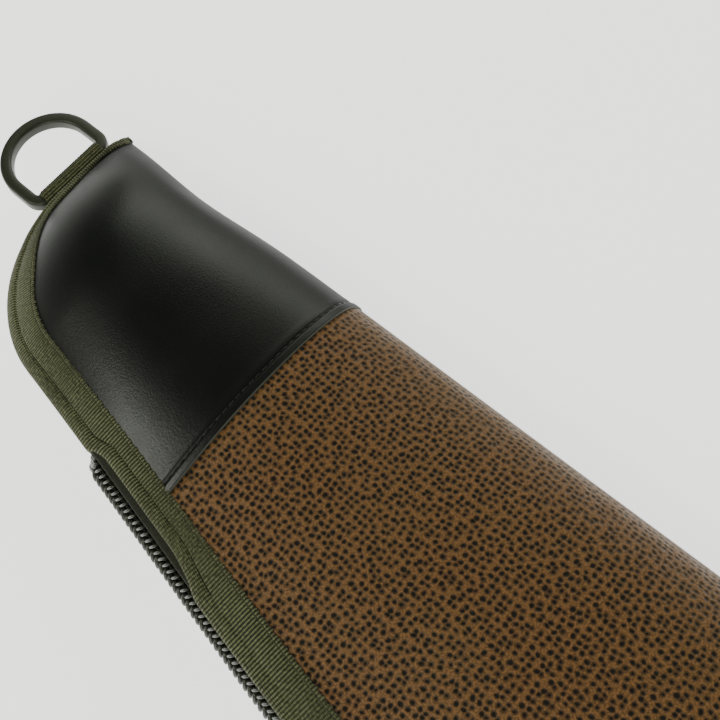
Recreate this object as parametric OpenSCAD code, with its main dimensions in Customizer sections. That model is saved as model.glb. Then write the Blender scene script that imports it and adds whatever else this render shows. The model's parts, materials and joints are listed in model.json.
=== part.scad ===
// Padded, tapered rod case that lies on its rear face.
// X runs from the tip to the butt, +Y is the folded edge, -Y is the zipped edge and Z is up.

/* [Body] */
// Length from the tip line to the butt line
body_len = 1200; // [1100:10:1300]
// Width across the tip line
tip_w = 86; // [84:1:90]
// Angle between the folded edge and the zipped edge, in degrees
taper = 8; // [7.5:0.25:8.5]
// Radius of the sewn corner at the tip
tip_round = 48; // [44:1:50]
// Radius of the sewn corner at the butt
butt_round = 70; // [60:1:80]
// Height of the fold and of the zip above the floor
mid_z = 26; // [26:1:27]
// Rise of the front face above the fold at the tip
crown_tip = 20; // [19:1:21]
// Rise of the front face above the fold over its wide part
crown_wide = 36; // [33:1:38]
// Distance from the tip line to the tip cap's seam
tip_cap_len = 118; // [112:1:125]
// Length of the butt cap
butt_cap_len = 150; // [120:5:180]

/* [Layers] */
// Thickness of the leather skin
skin_t = 1.3; // [1:0.1:1.4]
// Thickness of the foam padding
foam_t = 7.8; // [7:0.1:8]
// Thickness of the plush lining
lining_t = 1; // [0.8:0.1:1]

/* [Edge binding] */
// Width of the binding on each face
binding_w = 10.5; // [10:0.5:11]
// Thickness of the binding
binding_t = 0.8; // [0.7:0.1:0.9]

/* [Zip] */
// Distance along the case from the tip line to the first tooth
zip_start = 88; // [86:1:92]
// Half the height of the gap that the closed zip fills
zip_gap = 8; // [8:0.1:8.3]
// Where the first slider rests along the case
slider_a_x = 1000; // [960:5:1005]
// Length of a pull tab from its pin
pull_len = 34; // [28:1:38]

/* [Tip ring] */
// Outer radius of the ring's round end
ring_r = 21; // [20:0.5:22]
// Thickness of the ring
ring_t = 4.6; // [4.4:0.1:4.6]
// Distance of the ring's centre line from the fold
ring_y = 25; // [24:0.5:26]
// Width of the webbing that holds the ring
tab_w = 30; // [28:1:31]

/* [Handles] */
// Where the handles are centred along the case
handle_x = 660; // [560:10:720]
// Distance between the centre lines of a handle's two ends
handle_span = 200; // [180:5:220]
// Height of a handle's centre line above the zipped edge
handle_h = 70; // [65:1:80]
// Length of the grip
grip_len = 110; // [100:5:116]

/* [Hidden] */
leather = [0.09, 0.095, 0.085];
pebbled = [0.33, 0.23, 0.12];
olive = [0.32, 0.33, 0.22];
olive_dark = [0.22, 0.23, 0.16];
foam_grey = [0.45, 0.45, 0.43];
plush = [0.2, 0.22, 0.15];
tooth = [0.17, 0.18, 0.13];
bronze = [0.3, 0.29, 0.22];

// Clearances: between layers, between parts of the lid and of the base, and at a seam
layer_gap = 0.3;
lid_gap = 0.15;
seam_gap = 0.4;

// Depths of the layers below the outer surface
foam_d = skin_t + layer_gap;
lining_d = foam_d + foam_t + layer_gap;
inner_d = lining_d + lining_t;

// Half the height of the sewn edge at the tip, and the distance over which the fold is rounded
tip_gap = 3;
fold_round = 6;

// Rise of the rear face below the fold, before the floor flattens it
rear_tip = 20;
rear_wide = 29;

// Rows and columns of the panels' surfaces
tip_rows = 14;
panel_rows = 15;
butt_rows = 8;
cols = 17;

along = [cos(taper), -sin(taper)];
outward = [-sin(taper), -cos(taper)];

function clamp01(t) = min(1, max(0, t));
function ease(t) = let(u = clamp01(t)) u * u * (3 - 2 * u);
function width_at(x) = tip_w + x * tan(taper);
function zip_point(x) = [x, -width_at(x)];

// Centres of the sewn corners, and the zipped edge's two ends
tip_c = [tip_round, tip_round / cos(taper) - width_at(tip_round)];
butt_x = body_len - butt_round;
butt_c = [butt_x, butt_round / cos(taper) - width_at(butt_x)];
butt_end = butt_c + butt_round * outward;

// Distance inside the sewn edge
function inset(x, y) =
    let(t = [x, y] - tip_c, k = [x, y] - butt_c)
    t.y < 0 && t * along < 0 ? tip_round - norm(t)
    : k.y < 0 && k * along > 0 ? butt_round - norm(k)
    : min((width_at(x) + y) * cos(taper), x, body_len - x);

// Y of the line that lies d inside the sewn edge
function edge_y(x, d) =
    let(rt = tip_round - d, rb = butt_round - d)
    x < tip_c.x + rt * outward.x ? tip_c.y - sqrt(max(0, rt ^ 2 - (x - tip_c.x) ^ 2))
    : x > butt_c.x + rb * outward.x ? butt_c.y - sqrt(max(0, rb ^ 2 - (x - butt_c.x) ^ 2))
    : d / cos(taper) - width_at(x);

// Half the height of the gap between the two faces' sewn edges
function gap_at(x, y) = tip_gap + (zip_gap - tip_gap) * ease((x - 22) / 66) * ease((-y - 6) / 34);

function front_crown(x) = crown_tip + (crown_wide - crown_tip) * ease((x - 60) / 600);
function rear_crown(x) = rear_tip + (rear_wide - rear_tip) * ease(x / 150);

// Height of a face over the mid plane, for the surface that lies d below the outer one
function slope_len(x) = 30 + 45 * ease((x - 20) / 160);
function rim_slope(t) = 1 - (1 - clamp01(t)) ^ 2.4;
function fold_slope(t) = (1 - (1 - clamp01(t)) ^ 2.3) ^ 0.476;
function dome(x, y, d, crown) =
    let(g = gap_at(x, y), a = -y - d, b = inset(x, y) - d)
    g * clamp01(a / fold_round) + (crown - d - g) * rim_slope(b / slope_len(x)) * fold_slope(a / 42);

// Z of the front (side 1) or rear (side -1) face; the rear one is flat where it meets the floor
function face_z(x, y, d, side, lift) =
    side > 0 ? mid_z + lift + dome(x, y, d, front_crown(x))
    : max(d, mid_z - lift - dome(x, y, d, rear_crown(x)));

// Column positions bunch up towards both edges
function bunch(t) = (1 - cos(180 * t)) / 2;
function row_y(x, d, t) = -d + (edge_y(x, d) + d) * bunch(t);

// X of the rows of the tip unit, of the panels and of the butt caps
function tip_xs(d) = [for (i = [0:tip_rows]) d + (tip_cap_len - d) * (1 - cos(90 * i / tip_rows))];
panel_start = tip_cap_len + seam_gap;
panel_end = body_len - butt_cap_len;
panel_xs = [for (i = [0:panel_rows]) panel_start + (panel_end - panel_start) * bunch(i / panel_rows)];
function butt_xs(d, start) =
    [for (i = [0:butt_rows]) start + (body_len - d - start) * sin(90 * i / butt_rows)];
function inner_xs(d) = concat(panel_xs, butt_xs(d, panel_end + seam_gap));

function face_grid(xs, d, side) =
    [for (x = xs) [for (j = [0:cols])
        let(y = row_y(x, d, j / cols))
        [x, y, face_z(x, y, d, side, lid_gap)]]];

// The tip unit's columns run from the rear edge, round the fold, to the front edge
function wrap_grid(d) =
    [for (x = tip_xs(d)) [for (j = [-cols:cols])
        let(y = row_y(x, d, abs(j) / cols))
        [x, y, face_z(x, y, d, j < 0 ? -1 : 1, 0)]]];

function flipped(faces, flip) = flip ? [for (f = faces) [for (k = [len(f) - 1:-1:0]) f[k]]] : faces;
function halves(a, b, c, d) = [[a, b, c], [a, c, d]];

// Closed solid between two grids of the same size
module between(outer, inner, flip = false) {
    n = len(outer) - 1;
    m = len(outer[0]) - 1;
    w = m + 1;
    k = (n + 1) * w;
    points = concat([for (row = outer) each row], [for (row = inner) each row]);
    skins = [for (i = [0:n - 1], j = [0:m - 1])
        let(a = i * w + j, b = a + w)
        each concat(halves(a, b, b + 1, a + 1), halves(k + a, k + a + 1, k + b + 1, k + b))];
    sides = [for (i = [0:n - 1])
        let(a = i * w, b = a + w)
        each concat(halves(b, a, k + a, k + b), halves(a + m, b + m, k + b + m, k + a + m))];
    ends = [for (j = [0:m - 1])
        let(a = j, b = n * w + j)
        each concat(halves(a, a + 1, k + a + 1, k + a), halves(b + 1, b, k + b, k + b + 1))];
    polyhedron(points, flipped(concat(skins, sides, ends), flip));
}

module panel_layer(xs_outer, xs_inner, d, t, side) {
    between(face_grid(xs_outer, d, side), face_grid(xs_inner, d + t, side), flip = side < 0);
}

module wrap_layer(d, t) {
    between(wrap_grid(d), wrap_grid(d + t));
}

// How far the binding stands over the skin, and how far from the fold it starts
binding_seat = 0.4;
first_y = 8;

// Rim stations of the binding: a point on the sewn edge and the direction inwards
function arc_stations(c, r, from, to, n) =
    [for (i = [0:n]) let(u = from + (to - from) * i / n) [c + r * [cos(u), sin(u)], -[cos(u), sin(u)]]];
function line_stations(p, q, inward, n) = [for (i = [0:n]) [p + (q - p) * i / n, inward]];
tip_rim = concat(
    line_stations([0, -first_y], [0, tip_c.y], [1, 0], 6),
    arc_stations(tip_c, tip_round, 190, 262, 9),
    line_stations(zip_point(50), zip_point(tip_cap_len), -outward, 8));
front_rim = concat(
    line_stations(zip_point(panel_start), zip_point(butt_end.x - 8), -outward, 22),
    arc_stations(butt_c, butt_round, -90 - taper, 0, 14),
    line_stations([body_len, butt_c.y + 12], [body_len, -first_y], [-1, 0], 9));

// Points of the binding's U section; over() lies on the face and under() below the layers' edges
function over(s, r, t, side, lift) =
    let(q = s[0] + r * s[1]) [q.x, q.y, face_z(q.x, q.y, 0, side, lift) + side * t];
function under(s, r, share, side, lift) =
    let(q = s[0] + r * s[1], g = gap_at(q.x, q.y) * clamp01((-q.y - max(0, r)) / fold_round))
    [q.x, q.y, mid_z + side * (lift + g - min(share, share * g / tip_gap))];
function binding_section(s, side, lift) =
    let(w = binding_w, leg = min(w + 0.5, -s[0].y - 4), out = binding_seat + binding_t)
    [
        over(s, w, binding_seat, side, lift),
        over(s, w * 2 / 3, binding_seat, side, lift),
        over(s, w / 3, binding_seat, side, lift),
        over(s, -0.25, binding_seat, side, lift),
        under(s, -0.25, 0.2, side, lift),
        under(s, leg, 0.2, side, lift),
        under(s, leg, 0.95, side, lift),
        under(s, -1, 0.95, side, lift),
        over(s, -1, 0.4, side, lift),
        over(s, -0.5, binding_t, side, lift),
        over(s, w / 3, out, side, lift),
        over(s, w * 2 / 3, out, side, lift),
        over(s, w, out, side, lift)
    ];

module binding(stations, side, lift) {
    n = len(stations) - 1;
    w = 13;
    points = [for (s = stations) each binding_section(s, side, lift)];
    walls = [for (i = [0:n - 1], k = [0:w - 1])
        let(a = i * w + k, b = i * w + (k + 1) % w)
        each halves(b + w, a + w, a, b)];
    ends = [[for (k = [w - 1:-1:0]) k], [for (k = [0:w - 1]) n * w + k]];
    polyhedron(points, flipped(concat(walls, ends), side < 0));
}

// Runs a profile from p to q; its x points to the left of the way and its y is the height over mid_z
module run(p, q) {
    v = q - p;
    translate([p.x, p.y, mid_z])
        rotate([0, 0, atan2(v.y, v.x)])
            rotate([90, 0, 90])
                linear_extrude(norm(v)) children();
}

// Runs a profile along the closed zip from x = start, round the butt corner, to the butt line's end;
// the three stretches stand a hair apart, so each is a plain solid
zip_stop_y = -44;
hair = 0.1;
module zip_run(start) {
    run(butt_end - hair * along, zip_point(start)) children();
    translate([butt_c.x, butt_c.y, mid_z])
        rotate([0, 0, -90 - taper])
            rotate_extrude(angle = 90 + taper, $fn = 96) translate([butt_round, 0]) children();
    run([body_len, zip_stop_y], [body_len, butt_c.y + hair]) children();
}

// Sections of the tape and of the coil, side 1 for the front half and -1 for the rear half
tape_t = 0.8;
tape_top = zip_gap - 0.95 - tape_t;
coil_r = 1.5;
module tape_section(side) {
    scale([1, side]) {
        translate([-1.4, 0.6]) square([tape_t, tape_top - 0.6 + tape_t / 2]);
        translate([-9, tape_top]) square([8.4, tape_t]);
    }
}
module coil_section(side) {
    scale([1, side]) {
        translate([-0.5, 2]) square([2 * coil_r, 1.4]);
        translate([1, 2]) circle(r = coil_r, $fn = 24);
        translate([1, 3.4]) circle(r = coil_r, $fn = 24);
    }
}

// Frame on the zip's centre line: X towards the tip, Y out of the case
module at_zip(x) {
    translate([x, -width_at(x), mid_z]) rotate([0, 0, 180 - taper]) children();
}

// Slider: outer and inner plate joined by a post, a flange over the rear coil and ears with a pin
plate = [17, 1.6, 13.2];
pin_r = 1;
pin_out = 6.6;
module slider_body() {
    translate([-plate.x / 2, 3, -plate.z / 2]) cube(plate);
    translate([-8, 0, -6.3]) cube([16, 3.2, 1.1]);
    translate([3, -2.2, -0.2]) cube([4, 5.4, 0.4]);
    translate([-8, -3.4, -5.6]) cube([16, 1.5, 11.2]);
    for (z = [-3.2, 2]) translate([-2.5, 4.4, z]) cube([5, 3.4, 1.2]);
    translate([0, pin_out, -3.2]) cylinder(r = pin_r, h = 6.4, $fn = 32);
}

// Pull: an eye on the pin and a flat tab, along the zip
eye_r = 1.9;
module pull_body() {
    difference() {
        union() {
            translate([0, pin_out, -1.7]) cylinder(r = eye_r, h = 3.4, $fn = 32);
            translate([0, pin_out - 0.8, -1.7]) cube([8, 1.6, 3.4]);
            translate([7, pin_out - 0.8, -4.5]) cube([pull_len - 11.5, 1.6, 9]);
            translate([pull_len - 4.5, pin_out - 0.8, 0])
                rotate([-90, 0, 0]) cylinder(r = 4.5, h = 1.6, $fn = 32);
        }
        translate([0, pin_out, -3]) cylinder(r = pin_r + 0.08, h = 6, $fn = 32);
    }
}

// Handle: ribbons sewn to a face, webbing that leaves the edge, and a grip
ribbon_w = 30;
ribbon_t = 1.4;
ribbon_end = 2.2;
hinge_out = 2.4;
leg_start = hinge_out + 1.5;
hinge_z = lid_gap + zip_gap + 1.45 + ribbon_t / 2;
corner_r = 40;
function ribbon_lift(r) = 0.2 + 1.25 * (1 - ease((r - 11) / 4));
function ribbon_grid(s, side, reach, t) =
    [for (i = [0:4]) [for (j = [0:12])
        let(u = s + ribbon_w * (0.5 - i / 4), r = reach - (reach + ribbon_end) * j / 12)
        over([zip_point(handle_x) - u * along, -outward], r, ribbon_lift(r) + t, side, lid_gap)]];
module ribbons(side, reach) {
    for (s = [-handle_span / 2, handle_span / 2])
        between(ribbon_grid(s, side, reach, ribbon_t), ribbon_grid(s, side, reach, 0), flip = side < 0);
}
module webbing_loop() {
    bend_x = handle_span / 2 - corner_r;
    bend_y = handle_h - corner_r;
    for (m = [0, 1]) mirror([m, 0, 0]) {
        translate([bend_x + corner_r - ribbon_w / 2, leg_start, -ribbon_t / 2])
            cube([ribbon_w, bend_y - leg_start, ribbon_t]);
        translate([bend_x, bend_y, 0])
            rotate_extrude(angle = 90, $fn = 72)
                translate([corner_r - ribbon_w / 2, -ribbon_t / 2]) square([ribbon_w, ribbon_t]);
    }
    translate([-bend_x, handle_h - ribbon_w / 2, -ribbon_t / 2]) cube([2 * bend_x, ribbon_w, ribbon_t]);
}
grip_r = 4;
module grip_sleeve() {
    half = ribbon_w / 2 - 1;
    difference() {
        translate([-grip_len / 2, handle_h, 0]) rotate([90, 0, 90]) linear_extrude(grip_len) {
            square([2 * half, 2 * grip_r], center = true);
            for (y = [-half, half]) translate([y, 0]) circle(r = grip_r, $fn = 32);
        }
        translate([-grip_len, handle_h - ribbon_w / 2 - 0.2, -ribbon_t / 2 - 0.2])
            cube([2 * grip_len, ribbon_w + 0.4, ribbon_t + 0.4]);
    }
}

// Tip ring: a bar in the webbing's loop, two arms and a round end
bar_x = -ring_t;
tongue = 9.6;
arc_x = -15.7;
ring_in = ring_r - ring_t + 0.1;

// The row's origin is the middle of the whole case's footprint
low_x = arc_x - ring_r;
high_x = body_len + 1 + coil_r;
grip_top = handle_h + ribbon_w / 2 - 1 + grip_r;
low_y = -width_at(handle_x) - grip_top * cos(taper) - grip_len / 2 * sin(taper);
module placed() {
    translate([-(low_x + high_x) / 2, -low_y / 2, 0]) children();
}

module tip_cap() { placed() color(leather) wrap_layer(0, skin_t); }
module tip_padding() { placed() color(foam_grey) wrap_layer(foam_d, foam_t); }
module tip_lining() { placed() color(plush) wrap_layer(lining_d, lining_t); }
module tip_binding() { placed() color(olive) binding(tip_rim, 1, 0); }

module ring_tab() {
    placed() color(olive)
        translate([bar_x, -ring_y, mid_z])
            rotate([90, 0, 0])
                translate([0, 0, -tab_w / 2])
                    linear_extrude(tab_w) difference() {
                        union() {
                            circle(r = ring_t / 2 + 1.5, $fn = 48);
                            translate([0, -1.4]) square([tongue, 2.8]);
                        }
                        circle(r = ring_t / 2 + 0.3, $fn = 48);
                    }
}

module tip_ring() {
    placed() color(olive_dark)
        translate([0, -ring_y, mid_z]) {
            translate([bar_x, ring_in + 1, 0])
                rotate([90, 0, 0]) cylinder(d = ring_t, h = 2 * ring_in + 2, $fn = 48);
            for (s = [-1, 1])
                translate([arc_x, s * (ring_in + ring_r) / 2, 0])
                    translate([0, -(ring_r - ring_in) / 2, -ring_t / 2])
                        cube([bar_x - arc_x, ring_r - ring_in, ring_t]);
            for (s = [-1, 1])
                translate([bar_x, s * (ring_in + ring_r) / 2, 0])
                    rotate([90, 0, 0]) cylinder(d = ring_t, h = ring_r - ring_in, center = true, $fn = 48);
            translate([arc_x, 0, 0]) rotate([0, 0, 90])
                rotate_extrude(angle = 180, $fn = 96)
                    translate([ring_in, -ring_t / 2]) square([ring_r - ring_in, ring_t]);
        }
}

module rear_panel() { placed() color(pebbled) panel_layer(panel_xs, panel_xs, 0, skin_t, -1); }
module rear_butt_cap() {
    s = panel_end + seam_gap;
    placed() color(leather) panel_layer(butt_xs(0, s), butt_xs(skin_t, s), 0, skin_t, -1);
}
module rear_padding() {
    placed() color(foam_grey) panel_layer(inner_xs(foam_d), inner_xs(foam_d + foam_t), foam_d, foam_t, -1);
}
module rear_lining() {
    placed() color(plush) panel_layer(inner_xs(lining_d), inner_xs(inner_d), lining_d, lining_t, -1);
}
module rear_binding() {
    placed() color(olive) binding(concat(tip_rim, front_rim), -1, lid_gap);
}
module rear_zip_tape() { placed() color(olive_dark) zip_run(zip_start) tape_section(-1); }
module rear_zip_coil() { placed() color(tooth) zip_run(zip_start) coil_section(-1); }

// The front half of the first teeth stays with the tip unit
module zip_tip_tape() {
    placed() color(olive_dark) run(zip_point(tip_cap_len), zip_point(zip_start)) tape_section(1);
}
module zip_tip_coil() {
    placed() color(tooth) run(zip_point(tip_cap_len), zip_point(zip_start)) coil_section(1);
}
module zip_tip_stop() {
    placed() color(bronze) at_zip(zip_start) translate([0.4, -0.4, -5]) cube([3.2, 3.2, 10]);
}
module zip_butt_stop() {
    placed() color(bronze) translate([body_len - 0.7, zip_stop_y + 0.8, mid_z - 5]) cube([3.2, 3.2, 10]);
}

module front_panel() { placed() color(pebbled) panel_layer(panel_xs, panel_xs, 0, skin_t, 1); }
module front_butt_cap() {
    s = panel_end + seam_gap;
    placed() color(leather) panel_layer(butt_xs(0, s), butt_xs(skin_t, s), 0, skin_t, 1);
}
module front_padding() {
    placed() color(foam_grey) panel_layer(inner_xs(foam_d), inner_xs(foam_d + foam_t), foam_d, foam_t, 1);
}
module front_lining() {
    placed() color(plush) panel_layer(inner_xs(lining_d), inner_xs(inner_d), lining_d, lining_t, 1);
}
module front_binding() { placed() color(olive) binding(front_rim, 1, lid_gap); }
module front_zip_tape() { placed() color(olive_dark) zip_run(panel_start) tape_section(1); }
module front_zip_coil() { placed() color(tooth) zip_run(panel_start) coil_section(1); }

// The second slider stands back to back with the first
slider_b_x = slider_a_x + 22;
module slider_a() { placed() color(bronze) at_zip(slider_a_x) slider_body(); }
module pull_a() { placed() color(bronze) at_zip(slider_a_x) pull_body(); }
module slider_b() { placed() color(bronze) at_zip(slider_b_x) mirror([1, 0, 0]) slider_body(); }
module pull_b() { placed() color(bronze) at_zip(slider_b_x) mirror([1, 0, 0]) pull_body(); }

front_reach = 45;
rear_reach = 28;
module front_handle_ribbons() { placed() color(olive) ribbons(1, front_reach); }
module front_handle_webbing() {
    placed() color(olive) at_zip(handle_x) translate([0, 0, hinge_z]) webbing_loop();
}
module front_handle_grip() {
    placed() color(leather) at_zip(handle_x) translate([0, 0, hinge_z]) grip_sleeve();
}
module rear_handle_ribbons() { placed() color(olive) ribbons(-1, rear_reach); }
module rear_handle_webbing() {
    placed() color(olive) at_zip(handle_x) translate([0, 0, -hinge_z]) webbing_loop();
}
module rear_handle_grip() {
    placed() color(leather) at_zip(handle_x) translate([0, 0, -hinge_z]) grip_sleeve();
}

tip_cap();
tip_padding();
tip_lining();
tip_binding();
ring_tab();
tip_ring();
rear_panel();
rear_butt_cap();
rear_padding();
rear_lining();
rear_binding();
rear_zip_tape();
rear_zip_coil();
zip_tip_tape();
zip_tip_coil();
zip_tip_stop();
zip_butt_stop();
front_panel();
front_butt_cap();
front_padding();
front_lining();
front_binding();
front_zip_tape();
front_zip_coil();
slider_a();
pull_a();
slider_b();
pull_b();
front_handle_ribbons();
front_handle_webbing();
front_handle_grip();
rear_handle_ribbons();
rear_handle_webbing();
rear_handle_grip();
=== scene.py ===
"""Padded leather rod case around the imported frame.

Lengths in the modelling functions are millimetres in the case's own coordinates: x runs from the tip
line to the butt, y is 0 at the fold and negative towards the zip, and z is the height over the floor.
placed() takes them to the row frame in metres.
"""
import json
from math import atan2, cos, hypot, pi, radians, sin, tan

import bmesh
import bpy
import numpy as np
from mathutils import Matrix, Vector


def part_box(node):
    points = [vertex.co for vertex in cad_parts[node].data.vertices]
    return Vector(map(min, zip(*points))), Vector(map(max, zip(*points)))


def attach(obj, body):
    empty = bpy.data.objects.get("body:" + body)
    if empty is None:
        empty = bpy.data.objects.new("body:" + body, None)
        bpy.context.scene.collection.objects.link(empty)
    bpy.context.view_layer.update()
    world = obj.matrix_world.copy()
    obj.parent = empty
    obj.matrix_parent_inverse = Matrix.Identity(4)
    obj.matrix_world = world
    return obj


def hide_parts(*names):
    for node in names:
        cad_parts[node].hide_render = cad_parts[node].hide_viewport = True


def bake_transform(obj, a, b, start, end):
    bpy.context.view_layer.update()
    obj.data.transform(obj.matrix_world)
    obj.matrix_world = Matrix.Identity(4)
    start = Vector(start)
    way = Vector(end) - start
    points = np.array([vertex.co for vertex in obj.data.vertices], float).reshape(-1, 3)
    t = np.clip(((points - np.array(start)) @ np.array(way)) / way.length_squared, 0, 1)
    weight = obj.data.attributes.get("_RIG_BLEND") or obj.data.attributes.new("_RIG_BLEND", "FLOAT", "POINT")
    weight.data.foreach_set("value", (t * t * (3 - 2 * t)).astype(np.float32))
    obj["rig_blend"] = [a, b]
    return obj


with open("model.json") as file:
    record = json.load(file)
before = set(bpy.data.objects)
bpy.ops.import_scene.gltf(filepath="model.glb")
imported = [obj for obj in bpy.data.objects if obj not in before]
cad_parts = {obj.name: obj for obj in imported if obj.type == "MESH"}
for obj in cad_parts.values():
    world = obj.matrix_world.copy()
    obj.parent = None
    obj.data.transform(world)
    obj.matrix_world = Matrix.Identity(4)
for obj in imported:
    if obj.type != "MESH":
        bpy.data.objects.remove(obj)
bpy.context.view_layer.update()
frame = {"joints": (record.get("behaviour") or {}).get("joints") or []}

MM = 0.001
JOINTS = {joint["name"]: joint for joint in frame["joints"]}
SIDES = ((1, "front"), (-1, "rear"))

# Places read from the frame
TIP_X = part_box("tip_cap")[0].x
FOLD_Y = JOINTS["cover_open"]["pos_m"][1]
MID = JOINTS["cover_open"]["pos_m"][2] / MM
LENGTH = (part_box("front_butt_cap")[1].x - TIP_X) / MM
TIP_SEAM = (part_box("tip_cap")[1].x - TIP_X) / MM
BUTT_SEAM = (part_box("front_butt_cap")[0].x - TIP_X) / MM
TO_TIP = JOINTS["slider_a_run"]["axis"]
TAPER = atan2(TO_TIP[1], -TO_TIP[0])
ALONG = np.array([cos(TAPER), -sin(TAPER)])
OUTWARD = np.array([-sin(TAPER), -cos(TAPER)])

# Body shape
TIP_WIDTH = 86
TIP_RADIUS = 56
BUTT_RADIUS = 70
TIP_GAP = 3
ZIP_GAP = 8
TIP_CROWN = 20
WIDE_CROWN = 36
REAR_TIP_CROWN = 20
REAR_WIDE_CROWN = 29
ZIP_START = 88

# Layers
SKIN_T = 1.3
FOAM_DEPTH = 1.6
FOAM_T = 7.8
LINING_DEPTH = 9.7
LINING_T = 1.0

# Where the lid's leather starts to lift, where it lifts as one piece, and half the height over which
# the folded leather turns with it
LIFT_START = TIP_SEAM
LIFT_END = 450
FOLD_SPAN = 3.0


def ease(t):
    u = np.clip(t, 0, 1)
    return u * u * (3 - 2 * u)


# The zipped edge pulls in this much round the tip
PINCH = 4.2


def pinch(x):
    return PINCH * (1 - ease((x - 48) / 162))


def width_at(x):
    return TIP_WIDTH + x * tan(TAPER) - pinch(x)


TIP_CENTRE = np.array([TIP_RADIUS, TIP_RADIUS / cos(TAPER) - width_at(TIP_RADIUS)])
BUTT_X = LENGTH - BUTT_RADIUS
BUTT_CENTRE = np.array([BUTT_X, BUTT_RADIUS / cos(TAPER) - width_at(BUTT_X)])
TIP_ARC_END = TIP_CENTRE + TIP_RADIUS * OUTWARD
BUTT_ARC_START = BUTT_CENTRE + BUTT_RADIUS * OUTWARD
# Where the zipped edge would start if it weren't pulled in
EDGE_START = TIP_ARC_END + np.array([0, -PINCH])


def inset(x, y):
    """Distance inside the sewn edge."""
    tx, ty = x - TIP_CENTRE[0], y - TIP_CENTRE[1]
    bx, by = x - BUTT_CENTRE[0], y - BUTT_CENTRE[1]
    plain = np.minimum(np.minimum((width_at(x) + y) * cos(TAPER), x), LENGTH - x)
    at_tip = (ty < 0) & (tx * ALONG[0] + ty * ALONG[1] < 0)
    at_butt = (by < 0) & (bx * ALONG[0] + by * ALONG[1] > 0)
    plain = np.where(at_tip, TIP_RADIUS - np.hypot(tx, ty), plain)
    return np.where(at_butt, BUTT_RADIUS - np.hypot(bx, by), plain)


def edge_y(x, d):
    """Y of the line that lies d inside the sewn edge."""
    tip, butt = TIP_RADIUS - d, BUTT_RADIUS - d
    y = d / cos(TAPER) - width_at(x)
    arc_t = TIP_CENTRE[1] - np.sqrt(np.maximum(0, tip ** 2 - (x - TIP_CENTRE[0]) ** 2))
    arc_b = BUTT_CENTRE[1] - np.sqrt(np.maximum(0, butt ** 2 - (x - BUTT_CENTRE[0]) ** 2))
    y = np.where(x < TIP_CENTRE[0] + tip * OUTWARD[0], arc_t, y)
    return np.where(x > BUTT_CENTRE[0] + butt * OUTWARD[0], arc_b, y)


def gap_at(x, y):
    """Half the height of the gap between the two faces' sewn edges."""
    return TIP_GAP + (ZIP_GAP - TIP_GAP) * ease((x - 22) / 66) * ease((-y - 6) / 34)


# Soft lumps of the padding: height, wave numbers along and across, and phase
LUMPS = (
    (0.34, 0.031, 0.022, 0.4),
    (0.28, 0.052, -0.037, 1.9),
    (0.22, 0.019, 0.071, 3.1),
    (0.16, 0.083, 0.045, 5.0),
    (0.12, -0.061, 0.096, 2.2),
)


def lumps(x, y):
    rise = sum(h * np.sin(kx * x + ky * y + phase) for h, kx, ky, phase in LUMPS)
    return rise * ease(inset(x, y) / 34) * ease(-y / 26)


def dome(x, y, d, side):
    """Height of a face over the mid plane, for the layer that lies d below the skin's outside."""
    if side > 0:
        crown = TIP_CROWN + (WIDE_CROWN - TIP_CROWN) * ease((x - 60) / 600)
    else:
        crown = REAR_TIP_CROWN + (REAR_WIDE_CROWN - REAR_TIP_CROWN) * ease(x / 150)
    gap = gap_at(x, y)
    a = np.maximum(0, -y - d)
    b = np.maximum(0, inset(x, y) - d)
    reach = 46 + 29 * ease((x - 20) / 160)
    rim = 1 - (1 - np.clip(b / reach, 0, 1)) ** 2.4
    fold = (1 - (1 - np.clip(a / 42, 0, 1)) ** 2.3) ** 0.476
    lip = 1 - (1 - np.clip(a / 9, 0, 1)) ** 2
    return gap * lip + (crown - d - gap) * rim * fold + lumps(x, y)


def face_z(x, y, d, side):
    z = dome(x, y, d, side)
    return MID + z if side > 0 else np.maximum(d, MID - z)


# ---- Mesh tools

def settled(p):
    """The soft tip sits slightly askew, and its folded side draws in between the tip and the seam."""
    x, y = p[..., 0], p[..., 1]
    askew = np.clip(-0.075 * (y + 25), -1.4, 2.6) * (1 - ease(x / 70))
    drawn = -2.6 * np.exp(-(((x - 44) / 27) ** 2)) * ease((y + 46) / 46)
    return np.stack([x + askew, y + drawn, p[..., 2]], -1)


def placed(points):
    """Points of the case in the row frame's metres, kept from sinking into the floor."""
    p = settled(np.asarray(points, float))
    height = np.maximum(p[..., 2], 0)
    return np.stack([p[..., 0] * MM + TIP_X, p[..., 1] * MM + FOLD_Y, height * MM], -1)


def volume(points, faces):
    """Six times the signed volume of a closed mesh."""
    total = 0.0
    for size in {len(f) for f in faces}:
        first, *others = points[np.array([f for f in faces if len(f) == size])].swapaxes(0, 1)
        for a, b in zip(others[:-1], others[1:]):
            total += np.sum(first * np.cross(a, b))
    return total


def new_object(name, data):
    obj = bpy.data.objects.new(name, data)
    bpy.context.scene.collection.objects.link(obj)
    return obj


def mesh_object(name, points, faces, uv, material):
    """A smooth mesh with its faces turned outwards. uv has one pair for each point."""
    points = placed(points).reshape(-1, 3)
    if volume(points - points.mean(0), faces) < 0:
        faces = [f[::-1] for f in faces]
    mesh = bpy.data.meshes.new(name)
    mesh.from_pydata(points, [], faces)
    if uv is not None:
        loops = np.zeros(len(mesh.loops), np.int32)
        mesh.loops.foreach_get("vertex_index", loops)
        layer = mesh.uv_layers.new(name="UVMap")
        layer.data.foreach_set("uv", np.asarray(uv, np.float32).reshape(-1, 2)[loops].ravel())
    mesh.shade_smooth()
    mesh.materials.append(material)
    return new_object(name, mesh)


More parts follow.
